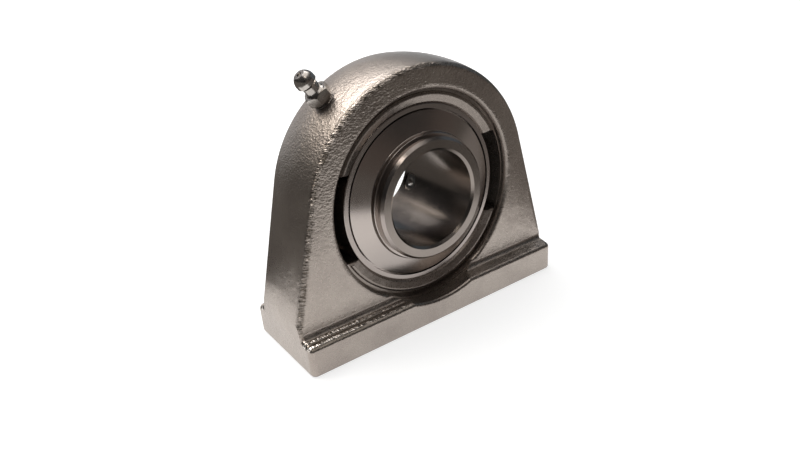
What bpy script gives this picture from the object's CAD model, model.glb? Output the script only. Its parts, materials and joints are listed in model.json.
import json
from math import cos, pi, radians, sin

import bpy
from mathutils import Matrix, Vector

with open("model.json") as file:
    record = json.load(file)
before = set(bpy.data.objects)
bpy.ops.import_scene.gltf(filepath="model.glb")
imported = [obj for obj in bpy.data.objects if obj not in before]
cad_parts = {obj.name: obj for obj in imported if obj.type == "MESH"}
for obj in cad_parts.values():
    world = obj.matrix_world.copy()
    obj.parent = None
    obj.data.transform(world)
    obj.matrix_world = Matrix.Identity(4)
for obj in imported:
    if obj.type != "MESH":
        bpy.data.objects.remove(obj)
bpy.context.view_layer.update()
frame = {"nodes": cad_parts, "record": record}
nodes = frame["nodes"]

# places of the part that the materials follow, in metres, as everything here
SHAFT_HEIGHT = 0.042863
BOLT_X = 0.0381
SCREW_Y = 0.0175
SCREW_ANGLES = (-26.8, 93.2)  # degrees from +X towards +Z
FINE_PITCH = 0.000907  # 28 threads to the inch, on the nipple and the set screws
BOLT_PITCH = 0.001814  # 14 to the inch, in the tapped holes


# ---------------------------------------------------------------- shader trees


class Graph:
    """The shader tree of a material or a world, whose nodes are added one call at a time."""

    def __init__(self, owner):
        owner.use_nodes = True
        self.owner = owner
        self.nodes = owner.node_tree.nodes
        self.links = owner.node_tree.links

    def feed(self, socket, value):
        """Give a socket another socket's output or a plain value."""
        if isinstance(value, bpy.types.NodeSocket):
            self.links.new(value, socket)
        elif value is not None:
            socket.default_value = value

    def math(self, operation, a, b=None, c=None):
        node = self.nodes.new("ShaderNodeMath")
        node.operation = operation
        for socket, value in zip(node.inputs, (a, b, c)):
            self.feed(socket, value)
        return node.outputs[0]

    def spread(self, value, low, high, to_low=0.0, to_high=1.0):
        """Map a range of values on to another, held at its ends."""
        node = self.nodes.new("ShaderNodeMapRange")
        for name, number in zip(("From Min", "From Max", "To Min", "To Max"), (low, high, to_low, to_high)):
            self.feed(node.inputs[name], number)
        self.feed(node.inputs["Value"], value)
        return node.outputs[0]

    def times(self, *values):
        product = values[0]
        for value in values[1:]:
            product = self.math("MULTIPLY", product, value)
        return product

    def total(self, *values):
        result = values[0]
        for value in values[1:]:
            result = self.math("ADD", result, value)
        return result

    def white_for_show(self, plain, shown):
        """A strength that is one value for light and another where a camera, metal or glass sees it."""
        ray = self.nodes.new("ShaderNodeLightPath").outputs
        seen = self.math("MAXIMUM", ray["Is Camera Ray"], ray["Is Glossy Ray"])
        seen = self.math("MAXIMUM", seen, ray["Is Transmission Ray"])
        return self.spread(seen, 0, 1, plain, shown)


class Surface(Graph):
    """A material, with patterns in the object's own frame."""

    def __init__(self, name):
        super().__init__(bpy.data.materials.new(name))
        self.shader = self.nodes["Principled BSDF"]
        outputs = self.nodes.new("ShaderNodeTexCoord").outputs
        self.place, self.facing = outputs["Object"], outputs["Normal"]

    def noise(self, scale, detail=2.0, roughness=0.5, place=None, stretch=None):
        """Noise; scale is in features per metre."""
        node = self.nodes.new("ShaderNodeTexNoise")
        place = place or self.place
        if stretch:
            mapping = self.nodes.new("ShaderNodeMapping")
            mapping.inputs["Scale"].default_value = stretch
            self.links.new(place, mapping.inputs["Vector"])
            place = mapping.outputs[0]
        self.links.new(place, node.inputs["Vector"])
        node.inputs["Scale"].default_value = scale
        node.inputs["Detail"].default_value = detail
        node.inputs["Roughness"].default_value = roughness
        return node.outputs["Fac"]

    def axes(self, vector):
        node = self.nodes.new("ShaderNodeSeparateXYZ")
        self.links.new(vector, node.inputs[0])
        return node.outputs

    def from_line(self, a, b, at_a, at_b):
        """The distance from a straight line, given two coordinates and where the line crosses them."""
        off_a, off_b = self.math("SUBTRACT", a, at_a), self.math("SUBTRACT", b, at_b)
        return self.math("SQRT", self.total(self.times(off_a, off_a), self.times(off_b, off_b)))

    def thread(self, along, pitch, turn=0):
        """The rise and fall of a thread along its axis; turn is the angle round it, for a helix."""
        return self.math("COSINE", self.math("MULTIPLY_ADD", along, 2 * pi / pitch, turn))

    def blend(self, factor, a, b):
        """A colour between a and b."""
        node = self.nodes.new("ShaderNodeMix")
        node.data_type = "RGBA"
        for index, value in ((0, factor), (6, a), (7, b)):
            self.feed(node.inputs[index], value)
        return node.outputs[2]

    def bump(self, height, distance, below=None):
        """Relief of a height from 0 to 1, distance metres deep, on top of any relief below it."""
        node = self.nodes.new("ShaderNodeBump")
        node.inputs["Strength"].default_value = 1.0
        node.inputs["Distance"].default_value = distance
        self.feed(node.inputs["Height"], height)
        self.feed(node.inputs["Normal"], below)
        return node.outputs[0]

    def finish(self, color, roughness, normal=None, metallic=1.0):
        """Set the shader and give the material."""
        self.feed(self.shader.inputs["Base Color"], color)
        self.feed(self.shader.inputs["Roughness"], roughness)
        self.feed(self.shader.inputs["Normal"], normal)
        self.feed(self.shader.inputs["Metallic"], metallic)
        return self.owner


# ---------------------------------------------------------------- materials

# Where the casting's kinds of surface start and where they are complete: radii from the shaft's axis,
# places along X, distances from the middle plane, heights, or how squarely a surface faces an axis.
CAST_RADII = (0.0342, 0.0360)  # outside the smooth recess
CAST_HEIGHTS = (0.0002, 0.0010)  # above the machined underside
ARCH_HEIGHTS = (0.030, 0.060)
ARCH_X = (0.030, -0.025)  # the peel is stronger on the nipple's side
CROWN_FACING_Y = (0.7, 0.4)  # the arch's back, which turns away from Y
EDGE_FACING_Y = (0.2, 0.55)  # the round edge of each face
FACE_FACING_Y = (0.999, 0.9)  # and not the flat face
EDGE_HEIGHTS = (0.0115, 0.014)
EDGE_X = (0.01, -0.03)
LEDGE_DEPTHS = (0.0134, 0.0140)
LEDGE_HEIGHTS = (0.0092, 0.0100)
RIDGED_X = (-0.010, -0.013)  # the ridges are on one half of each ledge
RIDGE_STEP_X = (-0.0310, -0.0315)  # and higher beyond this
RIDGE_DEPTH = 0.0145  # of the first ridge from the middle plane
RIDGE_SPACING = 0.0021
UPRIGHT_FACING_X = (0.5, 0.8)
CREASE_HEIGHT = 0.0159  # where the flanks meet the upright ends
CREASE_REACH = 0.0075
SLOT_HALF_HEIGHTS = (0.0135, 0.0120)  # above and below the shaft's axis
TAPPED_RADII = (0.0050, 0.0048)
TAPPED_HEIGHTS = (0.0192, 0.0190)

SMOOTH = (0.27, 0.235, 0.21, 1)
DULL = (0.35, 0.305, 0.275, 1)
BRIGHT = (0.43, 0.38, 0.34, 1)
SEAM = (0.17, 0.145, 0.12, 1)
GROOVE = (0.24, 0.21, 0.18, 1)
BEAD = (0.95, 0.89, 0.83, 1)


def cast_steel():
    """As-cast stainless: fine grain all over, orange peel on the arch, rough marks along the edges of the
    faces and ridges on the ledges. The recess, the seat, the slots and the underside are smoother."""
    graph = Surface("cast_steel")
    x, y, z = graph.axes(graph.place)
    facing_x, facing_y = [graph.math("ABSOLUTE", part) for part in graph.axes(graph.facing)[:2]]
    from_middle, depth = graph.math("ABSOLUTE", x), graph.math("ABSOLUTE", y)
    from_shaft = graph.math("ABSOLUTE", graph.math("SUBTRACT", z, SHAFT_HEIGHT))
    radius = graph.from_line(x, z, 0, SHAFT_HEIGHT)

    # where each kind of surface is, from 0 to 1
    as_cast = graph.times(graph.spread(radius, *CAST_RADII), graph.spread(z, *CAST_HEIGHTS))
    arch = graph.times(as_cast, graph.spread(z, *ARCH_HEIGHTS), graph.spread(x, *ARCH_X, 0.25, 1))
    crown = graph.times(arch, graph.spread(facing_y, *CROWN_FACING_Y))
    edge = graph.times(
        as_cast,
        graph.spread(facing_y, *EDGE_FACING_Y),
        graph.spread(facing_y, *FACE_FACING_Y),
        graph.spread(z, *EDGE_HEIGHTS),
        graph.spread(x, *EDGE_X, 0.35, 1),
    )
    ledge = graph.times(as_cast, graph.spread(depth, *LEDGE_DEPTHS), graph.spread(z, *LEDGE_HEIGHTS))
    ridged = graph.times(ledge, graph.spread(x, *RIDGED_X), graph.spread(x, *RIDGE_STEP_X, 0.5, 1))
    upright_end = graph.spread(facing_x, *UPRIGHT_FACING_X)
    slot = graph.times(graph.math("SUBTRACT", 1, as_cast), graph.spread(from_shaft, *SLOT_HALF_HEIGHTS))

    mottle = graph.noise(60, 4, 0.6)
    peel = graph.noise(1400, 2, 0.45, stretch=(0.75, 0.75, 1.35))
    grain = graph.noise(2400, 3, 0.6)
    marks = graph.noise(330, 2, 0.6, stretch=(1, 1, 4.5))
    sparkle = graph.noise(1300, 1, 0.5)
    past_first = graph.math("SUBTRACT", depth, RIDGE_DEPTH)
    ridge = graph.math("COSINE", graph.math("MULTIPLY", past_first, 2 * pi / RIDGE_SPACING))
    crest = graph.times(ridged, graph.spread(ridge, -0.5, 0.3))
    off_crease = graph.math("ABSOLUTE", graph.math("SUBTRACT", z, CREASE_HEIGHT))
    crease = graph.spread(off_crease, 0, CREASE_REACH, 1, 0)

    # the thread in the two tapped holes
    bolt_axis = graph.from_line(from_middle, y, BOLT_X, 0)
    turn = graph.math("ARCTAN2", y, graph.math("SUBTRACT", from_middle, BOLT_X))
    thread = graph.thread(z, BOLT_PITCH, turn)
    tapped = graph.times(graph.spread(bolt_axis, *TAPPED_RADII), graph.spread(z, *TAPPED_HEIGHTS))

    millimetres = graph.total(
        graph.times(mottle, 0.5),
        graph.times(peel, arch, 0.26),
        graph.times(peel, crown, -0.10),
        graph.times(grain, as_cast, 0.07),
        graph.times(marks, edge, 0.6),
        graph.times(ridge, ridged, 0.10),
        graph.times(sparkle, crest, 0.50),
        graph.times(crease, crease, upright_end, -0.50),
        graph.times(thread, tapped, 0.35),
    )
    dull = graph.blend(graph.spread(mottle, 0.35, 0.65), DULL, BRIGHT)
    color = graph.blend(as_cast, SMOOTH, dull)
    color = graph.blend(graph.times(edge, graph.spread(marks, 0.55, 0.4)), color, SEAM)
    color = graph.blend(ridged, color, GROOVE)
    color = graph.blend(graph.times(crest, graph.spread(sparkle, 0.33, 0.47)), color, BEAD)
    roughness = graph.total(
        graph.spread(grain, 0.3, 0.7, 0.24, 0.36),
        graph.times(crown, 0.10),
        graph.times(crest, -0.08),
    )
    metallic = graph.spread(slot, 0, 1, 1, 0.8)  # dust and oxide in the slots
    return graph.finish(color, roughness, graph.bump(millimetres, 0.001), metallic)


GROUND_RADII = (0.0191, 0.0193)  # the bore and the end faces lie inside


def turned_steel(name, color, roughness, ground=None):
    """Steel with fine lathe lines round the shaft's axis; ground is its colour in and beside the bore."""
    graph = Surface(name)
    x, y, z = graph.axes(graph.place)
    radius = graph.from_line(x, z, 0, SHAFT_HEIGHT)
    profile = graph.nodes.new("ShaderNodeCombineXYZ")
    graph.feed(profile.inputs[0], radius)
    graph.feed(profile.inputs[1], y)
    lines = graph.noise(9000, 2, place=profile.outputs[0])
    stain = graph.noise(90, 3, 0.6)
    if ground:
        color = graph.blend(graph.spread(radius, *GROUND_RADII), ground, color)
    rough = graph.spread(stain, 0.3, 0.7, roughness * 0.85, roughness * 1.2)
    return graph.finish(color, rough, graph.bump(lines, 0.000006))


SCREW_THREAD_RADII = (0.0027, 0.0029)


def screw_steel():
    """Dark machined steel with a fine thread outside; both screws point at the shaft's axis."""
    graph = Surface("screw_steel")
    x, y, z = graph.axes(graph.place)
    height = graph.math("SUBTRACT", z, SHAFT_HEIGHT)
    aside = [
        graph.total(graph.times(x, -sin(radians(angle))), graph.times(height, cos(radians(angle))))
        for angle in SCREW_ANGLES
    ]
    from_axis = graph.math("MINIMUM", *[graph.from_line(y, offset, SCREW_Y, 0) for offset in aside])
    outside = graph.spread(from_axis, *SCREW_THREAD_RADII)
    thread = graph.thread(graph.from_line(x, height, 0, 0), FINE_PITCH)
    stain = graph.noise(400, 3, 0.6)
    color = graph.blend(graph.spread(stain, 0.35, 0.65), (0.16, 0.155, 0.15, 1), (0.26, 0.25, 0.24, 1))
    return graph.finish(color, 0.3, graph.bump(graph.times(thread, outside), 0.00014))


NIPPLE_THREAD_TOP = (0.0447, 0.0446)  # from the shaft's axis
NIPPLE_SHANK_TOP = (0.0452, 0.0448)


def nipple_steel():
    """Bright turned stainless, darker and threaded between the casting and the hexagon."""
    graph = Surface("nipple_steel")
    x, _, z = graph.axes(graph.place)
    radius = graph.from_line(x, z, 0, SHAFT_HEIGHT)
    thread = graph.times(graph.thread(radius, FINE_PITCH), graph.spread(radius, *NIPPLE_THREAD_TOP))
    stain = graph.noise(500, 3, 0.6)
    color = graph.blend(graph.spread(stain, 0.35, 0.65), (0.44, 0.41, 0.38, 1), (0.58, 0.545, 0.51, 1))
    color = graph.blend(graph.spread(radius, *NIPPLE_SHANK_TOP), color, (0.20, 0.18, 0.16, 1))
    normal = graph.bump(thread, 0.00014, graph.bump(stain, 0.00004))
    return graph.finish(color, graph.spread(stain, 0.3, 0.7, 0.16, 0.28), normal)


def rubber():
    """Matt black rubber."""
    graph = Surface("seal_rubber")
    grain = graph.noise(2500, 2)
    color = graph.blend(graph.spread(grain, 0.3, 0.7), (0.018, 0.018, 0.019, 1), (0.03, 0.03, 0.031, 1))
    return graph.finish(color, 0.55, graph.bump(grain, 0.00002), metallic=0.0)


MATERIALS = {
    "cast_steel": cast_steel(),
    "ring_steel": turned_steel("ring_steel", (0.38, 0.335, 0.31, 1), 0.22, ground=(0.285, 0.25, 0.225, 1)),
    "ball_steel": turned_steel("ball_steel", (0.6, 0.6, 0.6, 1), 0.08),
    "sheet_steel": turned_steel("sheet_steel", (0.46, 0.41, 0.38, 1), 0.2),
    "seal_rubber": rubber(),
    "screw_steel": screw_steel(),
    "nipple_steel": nipple_steel(),
    "spring_steel": turned_steel("spring_steel", (0.45, 0.45, 0.45, 1), 0.3),
}
for part in frame["record"]["subparts"]:
    node = nodes[part["node"]]
    node.data.materials.clear()
    node.data.materials.append(MATERIALS[part["material_slot"]])


# ---------------------------------------------------------------- surroundings


def sheet(name, corners):
    """A flat piece of the studio through the given corners."""
    mesh = bpy.data.meshes.new(name)
    mesh.from_pydata(corners, [], [tuple(range(len(corners)))])
    piece = bpy.data.objects.new(name, mesh)
    bpy.context.collection.objects.link(piece)
    return piece


def card(name, corners, glow):
    """A card of one brightness that only reflections show."""
    piece = sheet(name, corners)
    graph = Graph(bpy.data.materials.new(name))
    graph.nodes.clear()
    light = graph.nodes.new("ShaderNodeEmission")
    light.inputs["Color"].default_value = (*glow, 1)
    graph.feed(graph.nodes.new("ShaderNodeOutputMaterial").inputs["Surface"], light.outputs[0])
    piece.data.materials.append(graph.owner)
    piece.visible_camera = False
    piece.visible_diffuse = False
    piece.visible_shadow = False


def screen(name, azimuths, distance, heights, glow):
    """A curved upright card round the object; azimuths are degrees from +X towards +Y."""
    first, last = azimuths
    low, high = heights
    count = max(1, round((last - first) / 15))
    for step in range(count):
        ends = [radians(first + (last - first) * (step + k) / count) for k in (0, 1)]
        left, right = [(distance * cos(end), distance * sin(end)) for end in ends]
        card(f"{name}_{step}", [(*left, low), (*right, low), (*right, high), (*left, high)], glow)


def square(half, height):
    return [(x, y, height) for x, y in ((-half, -half), (half, -half), (half, half), (-half, half))]


FLOOR_HALF = 3.0
FLOOR_HEIGHT = -0.00002
FLOOR_WHITENS = (0.12, 0.5)  # distances from the object over which the floor turns wholly white

floor = sheet("floor", square(FLOOR_HALF, FLOOR_HEIGHT))
paper = Surface("floor")
x, y, _ = paper.axes(paper.place)
shown = paper.spread(paper.from_line(x, y, 0, 0), *FLOOR_WHITENS, 0.72, 1.0)
paper.feed(paper.shader.inputs["Emission Color"], (1, 1, 1, 1))
paper.feed(paper.shader.inputs["Emission Strength"], paper.white_for_show(0.0, shown))
floor.data.materials.append(paper.finish((0.42, 0.42, 0.42, 1), 0.9, metallic=0.0))

bpy.context.scene.world = bpy.data.worlds.new("studio")
sky = Graph(bpy.context.scene.world)
sky.feed(sky.nodes["Background"].inputs["Color"], (1, 1, 1, 1))
sky.feed(sky.nodes["Background"].inputs["Strength"], sky.white_for_show(0.30, 1.0))

# The dim room that the metal reflects: upright screens, given by their first and last azimuth, lower and
# upper edge and colour, a ceiling, and dark cards on the floor beyond a sheet of white paper.
ROOM = 1.2
HORIZON = 0.3
WALL_TOP = 0.9
CEILING = 1.9
SCREENS = {
    "horizon_back": ((40, 110), (0.0, HORIZON), (0.95, 1.0, 1.05)),
    "horizon_right": ((-30, 40), (0.0, HORIZON), (0.09, 0.09, 0.08)),
    "horizon_front": ((-110, -30), (0.0, HORIZON), (0.11, 0.09, 0.08)),
    "horizon_left": ((110, 250), (0.0, HORIZON), (0.02, 0.02, 0.02)),
    "wall_back": ((60, 115), (HORIZON, WALL_TOP), (0.30, 0.30, 0.32)),
    "wall_right": ((-30, 60), (HORIZON, WALL_TOP), (0.11, 0.14, 0.17)),
    "wall_front": ((-140, -30), (HORIZON, WALL_TOP), (0.03, 0.03, 0.03)),
    "wall_left": ((115, 220), (HORIZON, WALL_TOP), (0.03, 0.03, 0.03)),
    "high": ((-160, 200), (WALL_TOP, CEILING), (0.05, 0.05, 0.05)),
}
for name, (azimuths, heights, glow) in SCREENS.items():
    screen(name, azimuths, ROOM, heights, glow)
card("ceiling", square(2 * ROOM, CEILING), (1.10, 1.06, 1.02))

PAPER = ((0.078, 0.06), (-0.12, 0.06), (-0.12, -0.155), (0.078, -0.085))
DIM = (0.15, 0.14, 0.13)
BEYOND = ((0.27, 0.25, 0.235), DIM, DIM, DIM)  # past the paper's +X, +Y, -X and -Y sides
BEYOND_HEIGHT = 0.0005
for index, (corner, glow) in enumerate(zip(PAPER, BEYOND)):
    ends = [corner, PAPER[index - 1]]
    far = [(ROOM * (1 if x > 0 else -1), ROOM * (1 if y > 0 else -1)) for x, y in reversed(ends)]
    card(f"surround_{index}", [(x, y, BEYOND_HEIGHT) for x, y in ends + far], glow)


def outward(azimuth, elevation):
    """The direction from the object; azimuth is from +X towards +Y, both in degrees."""
    azimuth, elevation = radians(azimuth), radians(elevation)
    return Vector((cos(azimuth) * cos(elevation), sin(azimuth) * cos(elevation), sin(elevation)))


def lamp(name, direction, distance, size, brightness, color=(1, 1, 1)):
    """A square lamp that faces the object, as bright as a white card that many times over."""
    data = bpy.data.lights.new(name, "AREA")
    data.size = size
    data.energy = brightness * size * size * pi
    data.color = color
    light = bpy.data.objects.new(name, data)
    light.location = Vector((0, 0, SHAFT_HEIGHT)) + distance * direction
    light.rotation_euler = direction.to_track_quat("Z", "Y").to_euler()
    bpy.context.collection.objects.link(light)


WARM = (1.0, 0.93, 0.84)
lamp("top_lamp", outward(125, 70), 0.9, 0.56, 3.9)
lamp("back_lamp", outward(82, 60), 0.8, 0.45, 1.8)
lamp("side_lamp", outward(28, 63), 0.8, 0.34, 1.4)
lamp("left_lamp", outward(132, 54), 0.8, 0.42, 3.9, WARM)
lamp("front_lamp", outward(-112, 50), 0.8, 0.12, 5.0, WARM)


# ---------------------------------------------------------------- camera, as fitted to the photo

CAMERA_PLACE = (-0.118754, -0.172316, 0.127031)
CAMERA_AZIMUTH = 33.836  # from -Y towards -X, in degrees
CAMERA_ELEVATION = 25.135
CAMERA_ROLL = radians(-4.623)
LENS = 30.40

back = outward(-90 - CAMERA_AZIMUTH, CAMERA_ELEVATION)
right = (-back).cross(Vector((0, 0, 1))).normalized()
up = right.cross(-back)
across = cos(CAMERA_ROLL) * right + sin(CAMERA_ROLL) * up
upright = -sin(CAMERA_ROLL) * right + cos(CAMERA_ROLL) * up

camera = bpy.data.objects.new("camera", bpy.data.cameras.new("camera"))
camera.data.lens = LENS
camera.data.sensor_width = 36
camera.data.clip_start = 0.01
camera.matrix_world = Matrix.Translation(CAMERA_PLACE) @ Matrix((across, upright, back)).transposed().to_4x4()
bpy.context.collection.objects.link(camera)
bpy.context.scene.camera = camera
bpy.context.scene.view_settings.view_transform = "Standard"
